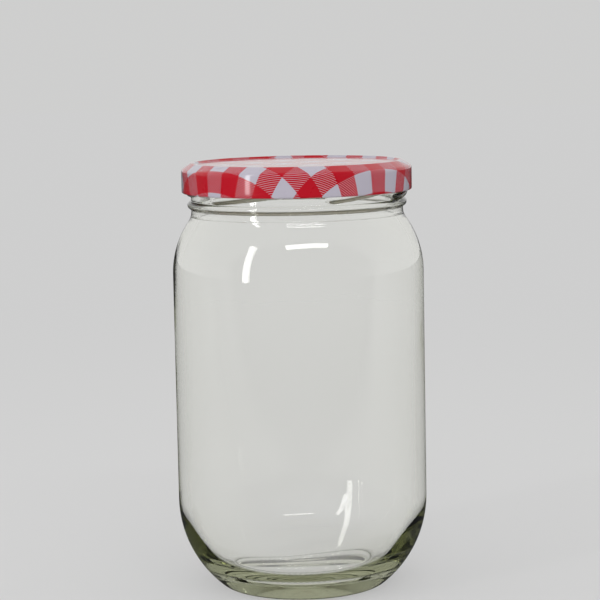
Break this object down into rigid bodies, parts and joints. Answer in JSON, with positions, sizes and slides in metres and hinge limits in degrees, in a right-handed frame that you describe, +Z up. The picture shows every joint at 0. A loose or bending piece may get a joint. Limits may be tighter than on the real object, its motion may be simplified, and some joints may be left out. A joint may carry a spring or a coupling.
{
  "type": "storage jar",
  "caption": "Empty clear glass storage jar with a rounded heel and a red and white gingham twist-off lid.",
  "frame": {"origin": "middle of the ring that the jar stands on, on the table plane", "axes": "+Z up along the axis of the jar; +X is any level direction: the jar is round and its six ramps repeat every 60 degrees"},
  "size_m": [0.0934, 0.0934, 0.1591],
  "materials": {
    "clear_glass": "polished",
    "printed_tinplate": "gloss",
    "seal_compound": "matte"
  },
  "bodies": {
    "root": {"jar": "clear_glass", "lid": "printed_tinplate", "sealing_ring": "seal_compound"}
  },
  "joints": []
}
